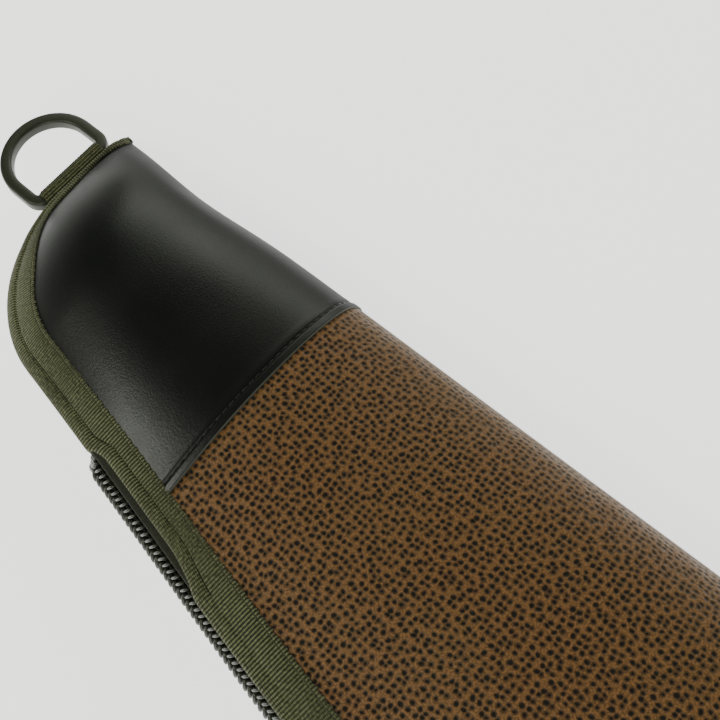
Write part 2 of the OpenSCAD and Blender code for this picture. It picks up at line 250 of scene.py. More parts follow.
def grid_faces(n, m, wrap=False, closed=False):
    """Quads of n rows of m points; wrap joins the last column to the first, and closed the last row."""
    rows, columns = np.arange(n if closed else n - 1), np.arange(m if wrap else m - 1)
    i, j = np.meshgrid(rows, columns, indexing="ij")
    down, k = (i + 1) % n, (j + 1) % m
    return np.stack([i * m + j, down * m + j, down * m + k, i * m + k], -1).reshape(-1, 4).tolist()


def grid_uv(along, across):
    return np.stack(np.broadcast_arrays(along[:, None], across[None, :]), -1)


def between(name, outer, inner, uv, material):
    """A closed sheet between two grids of the same size."""
    n, m = outer.shape[:2]
    k = n * m
    faces = grid_faces(n, m)
    faces += [[k + v for v in f[::-1]] for f in faces]
    index = np.arange(k).reshape(n, m)
    rim = np.concatenate([index[:-1, 0], index[-1, :-1], index[:0:-1, -1], index[0, :0:-1]]).tolist()
    faces += [[b, a, k + a, k + b] for a, b in zip(rim, rim[1:] + rim[:1])]
    points = np.concatenate([outer.reshape(-1, 3), inner.reshape(-1, 3)])
    return mesh_object(name, points, faces, np.concatenate([uv.reshape(-1, 2)] * 2), material)


def sweep(name, rings, uv, material, closed=False):
    """A capped tube through rings of points; closed joins the last ring to the first instead."""
    n, m = rings.shape[:2]
    faces = grid_faces(n, m, wrap=True, closed=closed)
    if not closed:
        faces += [list(range(m)), [(n - 1) * m + j for j in range(m - 1, -1, -1)]]
    return mesh_object(name, rings.reshape(-1, 3), faces, uv, material)


def normals(grid):
    """Unit normals of a grid of points."""
    across = np.gradient(grid, axis=1)
    down = np.gradient(grid, axis=0)
    n = np.cross(down, across)
    return n / np.maximum(np.linalg.norm(n, axis=-1, keepdims=True), 1e-9)


def ball(rings, around, half):
    """Points and faces of a rounded pill with half sizes half, longest along its third axis."""
    points = [(0, 0, -half[2])]
    for t in np.arange(1, rings) * pi / rings:
        r = sin(t) ** 0.6
        for a in np.arange(around) * 2 * pi / around:
            points.append((half[0] * r * cos(a), half[1] * r * sin(a), -half[2] * cos(t)))
    points.append((0, 0, half[2]))
    last = len(points) - 1
    faces = [[0, 1 + (j + 1) % around, 1 + j] for j in range(around)]
    faces += [[a + 1, d + 1, c + 1, b + 1] for a, b, c, d in grid_faces(rings - 1, around, wrap=True)]
    base = last - around
    faces += [[base + j, base + (j + 1) % around, last] for j in range(around)]
    return np.array(points), faces


def scatter(name, template, places, axes, material):
    """Copies of a template at each place; axes holds each copy's three axes as rows."""
    points, faces = template
    places, axes = np.asarray(places), np.asarray(axes)
    every = places[:, None, :] + np.einsum("pk,nkc->npc", points, axes)
    count = len(points)
    all_faces = [[i * count + v for v in f] for i in range(len(places)) for f in faces]
    return mesh_object(name, every.reshape(-1, 3), all_faces, None, material)


def unit(v):
    v = np.asarray(v, float)
    return v / np.maximum(np.linalg.norm(v, axis=-1, keepdims=True), 1e-9)


def running_length(points):
    """Length along a line of points, from 0."""
    return np.concatenate([[0], np.cumsum(np.linalg.norm(np.diff(points, axis=0), axis=1))])


def stitches(name, line, up, pitch, material, length, radius):
    """Threads of one stitch each along a line of points, lying in the surface whose normals are up."""
    dist = running_length(line)
    s = np.arange(pitch / 2, dist[-1], pitch)

    def at(values, places):
        return np.stack([np.interp(places, dist, values[:, c]) for c in range(3)], -1)

    normal = unit(at(up, s))
    forward = unit(at(line, s + 0.5) - at(line, s - 0.5))
    axes = np.stack([unit(np.cross(normal, forward)), normal, forward], 1)
    return scatter(name, ball(6, 6, (radius, radius, length / 2)), at(line, s), axes, material)


def face_line(xs, ys, side, lift):
    """A line of points on a face's skin, and the skin's normals there."""
    e = 0.4
    z = face_z(xs, ys, 0, side)
    dx = (face_z(xs + e, ys, 0, side) - face_z(xs - e, ys, 0, side)) / (2 * e)
    dy = (face_z(xs, ys + e, 0, side) - face_z(xs, ys - e, 0, side)) / (2 * e)
    up = unit(np.stack([-dx, -dy, np.ones_like(dx)], -1)) * side
    return np.stack([xs, ys, z], -1) + lift * up, up


# ---- The sewn edge

# The sewn edge by running length: tip line, tip corner, zipped edge, butt corner and butt line. Its
# two ends reach a little past the fold.
PAST_FOLD = 0.9
RIM_ENDS = np.cumsum([
    PAST_FOLD - TIP_CENTRE[1],
    TIP_RADIUS * (pi / 2 - TAPER),
    np.linalg.norm(BUTT_ARC_START - EDGE_START),
    BUTT_RADIUS * (pi / 2 + TAPER),
    PAST_FOLD - BUTT_CENTRE[1],
])


def compass(angle):
    return np.stack([np.cos(angle), np.sin(angle)], -1)


def rim_at(s):
    """Points on the sewn edge at running lengths s, and the directions inwards."""
    tip_out = compass(pi + (s - RIM_ENDS[0]) / TIP_RADIUS)
    butt_out = compass(-pi / 2 - TAPER + (s - RIM_ENDS[2]) / BUTT_RADIUS)
    straight = EDGE_START + (s - RIM_ENDS[1])[:, None] * ALONG
    straight[:, 1] += pinch(straight[:, 0])
    tip_line = np.stack([0 * s, PAST_FOLD - s], -1)
    butt_line = np.stack([0 * s + LENGTH, BUTT_CENTRE[1] + s - RIM_ENDS[3]], -1)
    pieces = np.array([
        (tip_line, 0 * tip_line + (1, 0)),
        (TIP_CENTRE + TIP_RADIUS * tip_out, -tip_out),
        (straight, 0 * straight - OUTWARD),
        (BUTT_CENTRE + BUTT_RADIUS * butt_out, -butt_out),
        (butt_line, 0 * butt_line - (1, 0)),
    ])
    which = np.clip(np.searchsorted(RIM_ENDS, s), 0, 4)
    chosen = pieces[which, :, np.arange(len(s))]
    return chosen[:, 0], chosen[:, 1]


def rim_length_to(x):
    """Running length to the place x on the zipped edge."""
    return RIM_ENDS[1] + (x - TIP_ARC_END[0]) / cos(TAPER)


def on_skin(point, inward, r, h, side):
    """Points r inside the edge and h off the skin, along the skin's normal across the edge."""
    r = r + 0 * point[:, 0]
    inside = np.maximum(r, 0)
    e = 0.4

    def height(reach):
        q = point + reach[:, None] * inward
        return face_z(q[:, 0], np.minimum(q[:, 1], -0.05), 0, side)

    slope = (height(inside + e) - height(inside)) / e * side
    off = unit(np.stack([-slope, np.ones_like(slope)], -1))
    flat = point + (r + h * off[:, 0])[:, None] * inward
    return np.column_stack([flat, height(inside) + side * h * off[:, 1]])


def off_edge(point, inward, out, z, side):
    """Points out from the edge and z from the mid plane."""
    level = 0 * point[:, 0]
    return np.column_stack([point - (level + out)[:, None] * inward, level + MID + side * z])


# ---- Materials

class Shader:
    """Short-hand for a material's nodes."""

    def __init__(self, name, colour, roughness, **uniform):
        self.material = bpy.data.materials.new(name)
        self.material.use_nodes = True
        self.tree = self.material.node_tree
        self.main = self.tree.nodes["Principled BSDF"]
        self.main.inputs["Base Color"].default_value = (*colour, 1)
        self.main.inputs["Roughness"].default_value = roughness
        for socket, value in uniform.items():
            self.main.inputs[socket.replace("_", " ")].default_value = value
        self.count = 0

    def node(self, kind, links=(), **settings):
        node = self.tree.nodes.new("ShaderNode" + kind)
        node.location = (-200 * (self.count % 9) - 200, -180 * (self.count // 9))
        self.count += 1
        for key, value in settings.items():
            setattr(node, key, value)
        for socket, value in dict(links).items():
            self.set(node.inputs[socket], value)
        return node

    def set(self, socket, value):
        if isinstance(value, bpy.types.NodeSocket):
            self.tree.links.new(value, socket)
        elif isinstance(value, bpy.types.Node):
            self.tree.links.new(value.outputs[0], socket)
        else:
            socket.default_value = value

    def math(self, operation, a, b=0.0, c=0.0):
        return self.node("Math", {0: a, 1: b, 2: c}, operation=operation).outputs[0]

    def times(self, a, b, plus=0.0):
        return self.math("MULTIPLY_ADD", a, b, plus)

    def add(self, a, b):
        return self.math("ADD", a, b)

    def uv_point(self):
        return self.node("UVMap", uv_map="UVMap").outputs[0]

    def uv(self):
        split = self.node("SeparateXYZ", {0: self.uv_point()})
        return split.outputs[0], split.outputs[1]

    def point(self):
        """Object coordinates in millimetres."""
        place = self.node("TexCoord").outputs["Object"]
        return self.node("VectorMath", {0: place, 1: (1 / MM,) * 3}, operation="MULTIPLY").outputs[0]

    def noise(self, vector, scale, detail=3.0, rough=0.5):
        links = {"Vector": vector, "Scale": scale, "Detail": detail, "Roughness": rough}
        return self.node("TexNoise", links).outputs[0]

    def voronoi(self, vector, scale, feature="F1", jitter=1.0, dimensions="3D"):
        links = {"Vector": vector, "Scale": scale, "Randomness": jitter}
        return self.node("TexVoronoi", links, feature=feature, voronoi_dimensions=dimensions)

    def ramp(self, value, *stops):
        node = self.node("ValToRGB", {0: value})
        marks = node.color_ramp.elements
        while len(marks) < len(stops):
            marks.new(0.5)
        for mark, (place, colour) in zip(marks, stops):
            mark.position = place
            mark.color = (*colour, 1)
        return node.outputs[0]

    def span(self, value, low, high, to_low=0.0, to_high=1.0):
        links = {0: value, 1: low, 2: high, 3: to_low, 4: to_high}
        return self.node("MapRange", links, interpolation_type="SMOOTHSTEP").outputs[0]

    def mix(self, share, a, b):
        node = self.node("Mix", {0: share}, data_type="RGBA")
        for socket, value in ((6, a), (7, b)):
            self.set(node.inputs[socket], (*value, 1) if isinstance(value, tuple) else value)
        return node.outputs[2]

    def colour(self, value):
        self.drive("Base Color", value)

    def roughness(self, value):
        self.drive("Roughness", value)

    def drive(self, socket, value):
        self.set(self.main.inputs[socket], value)

    def bump(self, height, strength, depth):
        """Bump from a height of 0 to 1 that stands for depth millimetres."""
        links = {"Strength": strength, "Distance": depth * MM, "Height": height}
        if self.main.inputs["Normal"].links:
            links["Normal"] = self.main.inputs["Normal"].links[0].from_socket
        self.drive("Normal", self.node("Bump", links))


def srgb(r, g, b):
    return tuple(((c / 255 + 0.055) / 1.055) ** 2.4 if c > 10 else c / 255 / 12.92 for c in (r, g, b))


def black_leather():
    s = Shader("black_leather", srgb(16, 18, 14), 0.36, Specular_IOR_Level=0.34)
    p = s.point()
    grain = s.voronoi(p, 1.5, "SMOOTH_F1").outputs[0]
    fine = s.noise(p, 2.6, 4)
    broad = s.noise(p, 0.03, 3)
    u, v = s.uv()
    from_fold = s.math("ABSOLUTE", v)
    from_hems = [s.math("ABSOLUTE", s.math("SUBTRACT", u, seam)) for seam in (TIP_SEAM, BUTT_SEAM)]
    # Painted highlight: a thin pale grey line along each cap's hem, where the folded edge would catch the
    # light.
    hem_edge_highlight = s.span(s.math("MINIMUM", *from_hems), 0.1, 0.5, 0.75, 0.0)
    s.drive("Specular IOR Level", s.span(from_fold, 4, 26, 0.1, 0.35))
    s.colour(s.mix(hem_edge_highlight, s.mix(broad, srgb(8, 10, 8), srgb(15, 17, 13)), srgb(104, 106, 98)))
    worn = s.span(s.add(broad, s.times(fine, 0.25)), 0.35, 0.85, 0.31, 0.39)
    s.roughness(s.add(worn, s.span(from_fold, 4, 30, 0.14, 0.0)))
    s.bump(grain, 0.3, 0.1)
    s.bump(fine, 0.3, 0.08)
    s.bump(s.noise(p, 0.05, 1), 0.1, 0.5)
    return s.material


def brown_leather():
    s = Shader("brown_leather", srgb(78, 56, 30), 0.5, Specular_IOR_Level=0.3)
    p = s.uv_point()
    shake = s.node("TexNoise", {"Vector": p, "Scale": 0.28, "Detail": 1.0}).outputs[1]
    bend = s.node("VectorMath", {0: shake, 1: (1.4,) * 3, 2: p}, operation="MULTIPLY_ADD")
    bent = bend.outputs[0]
    pits = s.voronoi(bent, 0.455, "F1", 0.47, "2D")
    cell = s.node("SeparateColor", {0: pits.outputs["Color"]})
    edge = s.times(cell.outputs[0], 0.13, 0.14)
    inside = s.math("DIVIDE", pits.outputs["Distance"], edge)
    from_fold = s.math("ABSOLUTE", s.uv()[1])
    hole = s.times(s.span(inside, 0.55, 1.45, 1.0, 0.0), s.span(from_fold, 8, 42, 0.3, 1.0))
    ridge = s.span(pits.outputs["Distance"], 0.25, 0.55)
    small = s.voronoi(bent, 1.5, "SMOOTH_F1", 1.0, "2D").outputs[0]
    broad = s.noise(p, 0.02, 3)
    patch = s.noise(p, 0.16, 4, 0.6)
    speck = s.noise(p, 1.6, 3, 0.7)
    base = s.mix(s.span(patch, 0.3, 0.7), srgb(60, 43, 24), srgb(84, 56, 30))
    base = s.mix(s.span(broad, 0.35, 0.65), base, srgb(78, 58, 34))
    # Painted highlight: the raised ridges between the pits are paler, with a fine speckle.
    light = s.mix(s.span(speck, 0.38, 0.62), srgb(98, 71, 41), srgb(154, 109, 66))
    base = s.mix(s.times(ridge, 0.8), base, light)
    # Painted sheen: the leather turns paler and greyer towards the fold, where the surface turns away.
    base = s.mix(s.span(from_fold, 5, 34, 0.45, 0.0), base, srgb(116, 92, 62))
    ink = s.mix(cell.outputs[1], srgb(9, 8, 6), srgb(14, 19, 18))
    s.colour(s.mix(s.times(hole, 0.96), base, ink))
    s.roughness(s.span(s.add(s.add(patch, small), hole), 0.3, 1.7, 0.4, 0.8))
    s.bump(s.math("SUBTRACT", 1.0, hole), 0.7, 0.5)
    s.bump(ridge, 0.5, 0.25)
    s.bump(small, 0.4, 0.16)
    s.bump(s.noise(p, 0.5, 3), 0.4, 0.3)
    return s.material


def woven(name, low, high, rib, across, depth):
    """Ribbed ribbon: ribs across its width, crossed by a fine diagonal weave."""
    s = Shader(name, low, 0.85, Specular_IOR_Level=0.25, Sheen_Weight=0.12, Sheen_Roughness=0.5)
    u, v = s.uv()
    p = s.uv_point()
    turn = 2 * pi
    ribs = s.times(s.math("SINE", s.times(u, turn / rib)), 0.5, 0.5)
    slant = s.times(u, 0.6)
    left = s.math("SINE", s.times(s.add(slant, v), turn / across))
    right = s.math("SINE", s.times(s.math("SUBTRACT", slant, v), turn / across))
    weave = s.times(s.times(left, right), 0.5, 0.5)
    wear = s.noise(p, 0.12, 4, 0.6)
    fibre = s.noise(p, 3.2, 3)
    height = s.times(weave, 0.55, s.times(ribs, 0.45))
    fleck = s.noise(p, 1.0, 2, 0.4)
    spots = s.times(fleck, 0.4, s.times(fibre, 0.2))
    # The colour mixes random flecks and wear with the weave's height, which paints shade into the gaps
    # between the threads and a highlight onto their raised tops.
    tone = s.add(spots, s.times(wear, 0.15, s.times(height, 0.5)))
    s.colour(s.ramp(tone, (0.36, tuple(c * 0.2 for c in low)), (0.6, low), (0.84, high)))
    s.bump(height, 0.8, depth)
    s.bump(fibre, 0.4, 0.08)
    return s.material


def plain(name, colour, roughness, scale, depth, vary=0.25, **uniform):
    """Moulded plastic, metal, foam or thread: one colour with faint variation, and a fine surface."""
    s = Shader(name, colour, roughness, **uniform)
    p = s.point()
    fine = s.noise(p, scale, 4, 0.6)
    broad = s.noise(p, 0.06, 2)
    tone = s.times(broad, 0.5, s.times(fine, 0.5))
    low, high = (tuple(c * (1 + k) for c in colour) for k in (-vary, vary))
    s.colour(s.ramp(tone, (0.3, low), (0.7, high)))
    s.roughness(s.span(fine, 0.3, 0.7, roughness * 0.88, min(1.0, roughness * 1.12)))
    s.bump(fine, 0.5, depth)
    return s.material


def fleece():
    s = Shader("lining_plush", srgb(62, 66, 46), 0.95, Sheen_Weight=0.5, Sheen_Roughness=0.6)
    p = s.point()
    tuft = s.voronoi(p, 0.8, "SMOOTH_F1").outputs[0]
    hair = s.noise(p, 1.8, 5, 0.7)
    s.colour(s.ramp(hair, (0.3, srgb(42, 45, 31)), (0.7, srgb(78, 82, 58))))
    s.bump(tuft, 0.7, 0.5)
    s.bump(hair, 0.8, 0.4)
    return s.material


BLACK = black_leather()
BROWN = brown_leather()
BINDING = woven("olive_binding", srgb(58, 60, 38), srgb(128, 131, 96), 1.1, 1.3, 0.3)
WEBBING = woven("olive_webbing", srgb(56, 57, 35), srgb(116, 117, 82), 1.3, 1.2, 0.3)
TAPE = woven("zip_tape", srgb(34, 35, 24), srgb(50, 52, 36), 0.7, 0.6, 0.08)
TEETH = plain("zip_teeth", srgb(52, 54, 44), 0.24, 0.9, 0.03)
PLASTIC = plain("ring_plastic", srgb(42, 44, 29), 0.4, 1.4, 0.05)
METAL = plain("zip_metal", srgb(74, 70, 56), 0.32, 0.7, 0.03, Metallic=1.0)
FOAM = plain("padding_foam", srgb(56, 58, 49), 0.95, 1.1, 0.3)
THREAD = plain("thread_olive", srgb(66, 68, 44), 0.7, 2.5, 0.06)
DARK_THREAD = plain("thread_dark", srgb(40, 41, 36), 0.4, 2.5, 0.06)
PLUSH = fleece()


# ---- Camera, light and floor

# Where the camera looks on the mid plane, and from where
AIM = (128.8, -13.7)
AZIMUTH = radians(43.1)
ELEVATION = radians(64.5)
ROLL = radians(-2.65)
DISTANCE = 294.7
LENS = 43.6


def make_camera():
    data = bpy.data.cameras.new("camera")
    data.sensor_width = 36
    data.lens = LENS
    data.clip_start = 0.01
    camera = new_object("camera", data)
    a, e = AZIMUTH, ELEVATION
    back = Vector((sin(a) * cos(e), -cos(a) * cos(e), sin(e)))
    level = Vector((cos(a), sin(a), 0))
    rise = back.cross(level)
    right = level * cos(ROLL) + rise * sin(ROLL)
    up = rise * cos(ROLL) - level * sin(ROLL)
    place = Vector(placed((AIM[0], AIM[1], MID))) + back * DISTANCE * MM
    turn = Matrix((right, up, back)).transposed().to_4x4()
    camera.matrix_world = Matrix.Translation(place) @ turn
    bpy.context.scene.camera = camera


# Each light's name, direction, distance, size and power, and the lights' colour
LIGHTS = (
    ("key_light", (-0.43, -0.52, 0.7), 1.5, (0.3, 0.3), 5.6),
    ("side_light", (-0.5, 0.72, 0.6), 1.8, (1.6, 0.8), 12),
    ("back_light", (0.25, 0.9, 0.5), 1.8, (1.8, 0.5), 4),
    ("fill_light", (0.62, -0.74, 0.75), 2.0, (1.2, 1.2), 16),
)
LIGHT_TINT = (0.97, 1.0, 0.89)

# The sky's colour, its strength at its foot and overhead, and how high it fades
SKY_TINT = (0.94, 1.0, 0.84)
SKY_FOOT = 1.1
SKY_TOP = 0.1
SKY_FADE = 0.3

FLOOR_HALF = 6.0
FLOOR_GLOW = 1.6


def make_lights():
    aim = Vector(placed((120, -50, MID)))
    for name, towards, distance, size, power in LIGHTS:
        data = bpy.data.lights.new(name, "AREA")
        data.shape = "RECTANGLE"
        data.size, data.size_y = size
        data.energy = power
        data.color = LIGHT_TINT
        light = new_object(name, data)
        direction = Vector(towards).normalized()
        light.location = aim + direction * distance
        light.rotation_mode = "QUATERNION"
        light.rotation_quaternion = direction.to_track_quat("Z", "Y")


def make_sky():
    """A soft sky that is bright low down and dim overhead."""
    world = bpy.data.worlds.new("world")
    bpy.context.scene.world = world
    world.use_nodes = True
    tree = world.node_tree
    sky = tree.nodes["Background"]
    sky.inputs[0].default_value = (*SKY_TINT, 1)
    split = tree.nodes.new("ShaderNodeSeparateXYZ")
    fall = tree.nodes.new("ShaderNodeMapRange")
    fall.interpolation_type = "SMOOTHSTEP"
    for socket, value in zip(list(fall.inputs)[1:5], (0.0, SKY_FADE, SKY_FOOT, SKY_TOP)):
        socket.default_value = value
    tree.links.new(tree.nodes.new("ShaderNodeTexCoord").outputs["Generated"], split.inputs[0])
    tree.links.new(split.outputs[2], fall.inputs[0])
    tree.links.new(fall.outputs[0], sky.inputs[1])


def make_floor():
    corners = [(x * FLOOR_HALF, y * FLOOR_HALF, 0) for x, y in ((-1, -1), (1, -1), (1, 1), (-1, 1))]
    mesh = bpy.data.meshes.new("floor")
    mesh.from_pydata(corners, [], [(0, 1, 2, 3)])
    s = Shader("floor_white", (0.9, 0.9, 0.9), 0.9, Specular_IOR_Level=0.1)
    s.drive("Emission Color", (1, 1, 1, 1))
    s.drive("Emission Strength", FLOOR_GLOW)
    mesh.materials.append(s.material)
    new_object("floor", mesh)


# ---- Riding helpers

def tag(nodes):
    if nodes:
        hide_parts(*nodes)


def finish_piece(obj, nodes=(), body="root"):
    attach(obj, body)
    tag(nodes)


def lift_with_cover(obj, nodes=(), wrap=False):
    """The piece bends from the root at the cap's seam to the lid; wrap keeps its rear half still."""
    start, end = (tuple(placed((x, 0.0, MID))) for x in (LIFT_START, LIFT_END))
    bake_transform(obj, "root", "cover", start, end)
    if wrap:
        data = obj.data.attributes["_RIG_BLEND"].data
        weight = np.zeros(len(data), np.float32)
        data.foreach_get("value", weight)
        z = np.array([v.co.z for v in obj.data.vertices]) / MM
        weight = weight * ease((z - MID + FOLD_SPAN) / (2 * FOLD_SPAN))
        data.foreach_set("value", weight.astype(np.float32))
    tag(nodes)


def sew_on(obj, side, nodes=()):
    """A front piece lifts with the cover, and a rear piece stays with the root."""
    if side > 0:
        lift_with_cover(obj, nodes)
    else:
        finish_piece(obj, nodes)


# ---- Leather, foam and lining

def face_row(x, d, side, count):
    """One row of a face from the fold to the sewn edge, evenly spaced over the surface."""
    y = np.linspace(0, 1, 260) ** 1.6
    y = -d + (edge_y(x, d) + d) * y
    z = face_z(np.full_like(y, x), y, d, side)
    run = running_length(np.stack([y, z], -1))
    even = np.linspace(0, run[-1], count)
    return np.interp(even, run, y), np.interp(even, run, z), even


def face_grid(xs, d, count, side):
    """Rows of points from the fold to one face's edge, with uv; side 0 takes both faces round the fold."""
    if side == 0:
        fronts, rears = face_grid(xs, d, count, 1), face_grid(xs, d, count, -1)
        return [np.concatenate([rear[:, :0:-1], front], 1) for front, rear in zip(fronts, rears)]
    rows, marks = [], []
    for x in xs:
        y, z, run = face_row(x, d, side, count)
        rows.append(np.stack([np.full_like(y, x), y, z], -1))
        marks.append(np.stack([np.full_like(y, x), run * side], -1))
    return np.array(rows), np.array(marks)


def layer(name, rows, depth, thickness, count, material, side=0):
    """A closed sheet with its outside at a depth below the skin's; rows gives its x places at a depth."""
    outer, uv = face_grid(rows(depth), depth, count, side)
    inner, _ = face_grid(rows(depth + thickness), depth + thickness, count, side)
    return between(name, outer, inner, uv, material)


# The thread's distance from a cap's cut edge and from the case's edge, and the hem's finely meshed part
HEM_THREAD = 3.4
HEM_THREAD_END = 11
FINE_HEM = 9


def hem(q, deep):
    """Height of a folded, sewn leather edge at q from the edge; it thins out under the binding."""
    fold = 0.62 * ease(q / 0.35) * (1 - 0.9 * ease((q - 2.2) / 1.2))
    groove = -0.32 * np.exp(-(((q - HEM_THREAD) / 0.42) ** 2))
    swell = 0.1 * np.exp(-(((q - 5.2) / 1.3) ** 2))
    return (fold + groove + swell) * (q >= 0) * ease((deep - 8) / 3)


def cap_rows(far, near, fine_from):
    """Rows of a cap from its end line to its sewn hem, close together at the hem."""
    share = 1 - np.cos(np.linspace(0, pi / 2, 64))
    broad = far + (fine_from - far) * share
    return np.concatenate([broad[:-1], np.linspace(fine_from, near, 40)])


def leather_cap(name, end, seam):
    """A cap folded round the fold from its end line to the hem at its seam."""
    direction = 1 if seam > end else -1

    def rows(d):
        return cap_rows(end + direction * d, seam, seam - direction * FINE_HEM)

    outer, uv = face_grid(rows(0), 0, 72, 0)
    inner, _ = face_grid(rows(SKIN_T), SKIN_T, 72, 0)
    q = (seam - outer[..., 0]) * direction
    rise = hem(q, inset(outer[..., 0], outer[..., 1]))
    return between(name, outer + normals_out(outer) * rise[..., None], inner, uv, BLACK)


def normals_out(grid):
    """Normals of a wrap grid, pointing away from its middle."""
    n = normals(grid)
    middle = grid.mean(1, keepdims=True)
    turned = np.sign(np.einsum("ijk,ijk->", n, grid - middle))
    return n * turned


def make_leather():
    tip = leather_cap("tip_cap_leather", 0, TIP_SEAM)
    finish_piece(tip, ["tip_cap"])
    butt = leather_cap("butt_cap_leather", LENGTH, BUTT_SEAM)
    lift_with_cover(butt, ["front_butt_cap", "rear_butt_cap"], wrap=True)

    # The body's rows are close together up to where the lid lifts as one piece
    start, middle, end = TIP_SEAM + 0.15, LIFT_END + 10, BUTT_SEAM - 0.15
    xs = np.concatenate([np.linspace(start, middle, 115)[:-1], np.linspace(middle, end, 100)])
    body = layer("body_leather", lambda d: xs, 0, SKIN_T, 84, BROWN)
    lift_with_cover(body, ["front_panel", "rear_panel"], wrap=True)


def make_padding():
    def tip_rows(d):
        return np.linspace(d, TIP_SEAM, 26)

    def foam_rows(d):
        return np.linspace(TIP_SEAM + 0.4, LENGTH - d, 120)

    def plush_rows(d):
        return np.linspace(TIP_SEAM + 0.4, LENGTH - d, 160)

    tip = layer("tip_foam", tip_rows, FOAM_DEPTH, FOAM_T, 24, FOAM)
    finish_piece(tip, ["tip_padding"])
    tip = layer("tip_plush", tip_rows, LINING_DEPTH, LINING_T, 40, PLUSH)
    finish_piece(tip, ["tip_lining"])
    for side, name in SIDES:
        foam = layer(name + "_foam", foam_rows, FOAM_DEPTH, FOAM_T, 30, FOAM, side)
        sew_on(foam, side, [name + "_padding"])
    plush = layer("body_plush", plush_rows, LINING_DEPTH, LINING_T, 56, PLUSH)
    lift_with_cover(plush, ["front_lining", "rear_lining"], wrap=True)


def cap_stitches():
    """The thread beside each cap's hem."""
    for name, at in (("tip", TIP_SEAM - HEM_THREAD), ("butt", BUTT_SEAM + HEM_THREAD)):
        for side, face in SIDES:
            y, _, _ = face_row(at, 0, side, 300)
            y = y[inset(np.full_like(y, at), y) > HEM_THREAD_END]
            line, up = face_line(np.full(len(y) - 6, at), y[6:], side, -0.12)
            thread = stitches(f"{name}_hem_thread_{face}", line, up, 3.0, DARK_THREAD, 2.3, 0.28)
            sew_on(thread, side if name == "butt" else -1)


# ---- Binding

# The binding's full width, the pitch of its ribs and stitches, and where its second length laps over
# its first
BINDING_WIDTH = 11.6
RIB = 0.55
STITCH = 3.3
TAPE_JOINT = 148


def binding_width(s, x, y):
    """The ribbon shows little across the tip line and at the butt's fold, and full along the zip."""
    tip = 1.9 + 1.6 * (1 - ease((s - 6) / 8)) + 3.0 * ease((s - 14) / 26) + 6.7 * ease((s - 40) / 42)
    butt = 2.2 + 9.4 * ease((-y - 4) / 40)
    return np.where(x > LENGTH - BUTT_RADIUS, butt, tip)


def tape_shows(x, y, side):
    """How far the front ribbon draws back where the first teeth leave it."""
    if side < 0:
        return 0 * x
    return 2.6 * ease((x - ZIP_START + 4) / 10) * (1 - ease((x - 128) / 22)) * ease((-y - 60) / 10)


def binding_rings(side):
    """Sections of the folded ribbon: a flat band, a groove and a rolled edge that closes the case."""
    length = RIM_ENDS[-1]
    s = np.arange(0, length, RIB)
    point, inward = rim_at(s)
    x, y = point[:, 0], point[:, 1]
    near_end = np.clip((np.minimum(s, length - s) + 0.05) / 4, 0, 1)
    ends = np.sqrt(1 - (1 - near_end) ** 2)
    wide = binding_width(s, x, y) * (0.3 + 0.7 * ends)
    full = wide / BINDING_WIDTH
    shift = tape_shows(x, y, side)
    gap = gap_at(x, y) * (1 - (1 - np.clip(-y / 9, 0, 1)) ** 2)
    closed = 1 - ease((x - ZIP_START + 6) / 10) * ease((-y - 20) / 10)
    closed = np.maximum(closed, ease((x - LENGTH + 1) / 1) * ease((y + 46) / 6))
    low = 0.25 * closed + (gap - 1.2) * (1 - closed)
    rib = np.where(np.arange(len(s)) % 2 == 0, 0.06, -0.08)
    scallop = 0.4 * np.abs(np.sin(pi * s / STITCH)) * full
    worn = 0.1 * np.sin(s / 17) + 0.07 * np.sin(s / 5.3 + 1)
    lap = 0.32 * ease((x - TAPE_JOINT) / 0.8) * (side > 0) * (x < LENGTH - BUTT_RADIUS)
    lap = np.where(x > LENGTH - BUTT_RADIUS, 0.32, lap)
    flat = ease((x - TAPE_JOINT + 1) / 3)

    def skin(r, h):
        return on_skin(point, inward, r, h * ends, side)

    def mixed(out, z, r, h):
        """Round the edge where it isn't drawn back, and on the skin where it is."""
        share = ease(shift / 1.2)[:, None]
        rolled = off_edge(point, inward, out * proud * ends, z, side)
        return rolled * (1 - share) + skin(shift + r, h) * share

    roll = rib * 0.7
    proud = 0.4 + 0.6 * ease((s - 40) / 16) + 0.55 * (1 - ease((s - 2) / 2.6))
    crease = (3.4 + shift) * (0.4 + 0.6 * full)
    groove = wide - 1.55 * full
    band = rib + worn + lap
    rings = np.stack([
        skin(wide - scallop, 0.04),
        skin(wide - scallop - 0.1, 0.42 + rib + lap),
        skin(wide - 0.55 * full, 0.72 + band),
        skin(wide - 1.2 * full, 0.74 + band),
        skin(groove, 0.48 + rib * 0.4 + lap),
        skin(wide - 1.9 * full, 0.78 + band),
        skin(wide * 0.5 + 1.4 * full + shift * 0.4, 0.86 + band),
        skin(crease + 0.6, 0.86 + rib + lap),
        skin(crease + 0.3, 0.7 + rib * 0.5 + lap),
        skin(crease, 0.02 + 0.62 * flat + lap),
        skin(crease - 0.3, 0.7 + roll * 0.5 + lap * flat),
        skin(crease - 0.8, 1.15 + roll - 0.2 * flat + lap * flat),
        skin(crease * 0.4 + shift * 0.6, 1.4 + roll - 0.3 * flat),
        mixed(0.75, gap + 1.0, 0.15, 1.3 + roll),
        mixed(1.35, gap + 0.1, -0.35, 0.95 + roll),
        mixed(1.45, low + (gap - low) * 0.55, -0.6, 0.5 + roll),
        mixed(1.1, low + 0.35, -0.55, 0.1),
        mixed(0.1, low, -0.2, -0.3),
        mixed(-0.3, low + 0.5, 0.4, -0.2),
        skin(1.2 + shift, 0.04),
        skin(wide * 0.5, 0.04),
    ], 1)
    across = running_length(rings[len(s) // 2])
    thread = skin(groove, 0.62 + lap)
    return rings, grid_uv(s, across), thread, skin(groove, 1.62 + lap) - thread


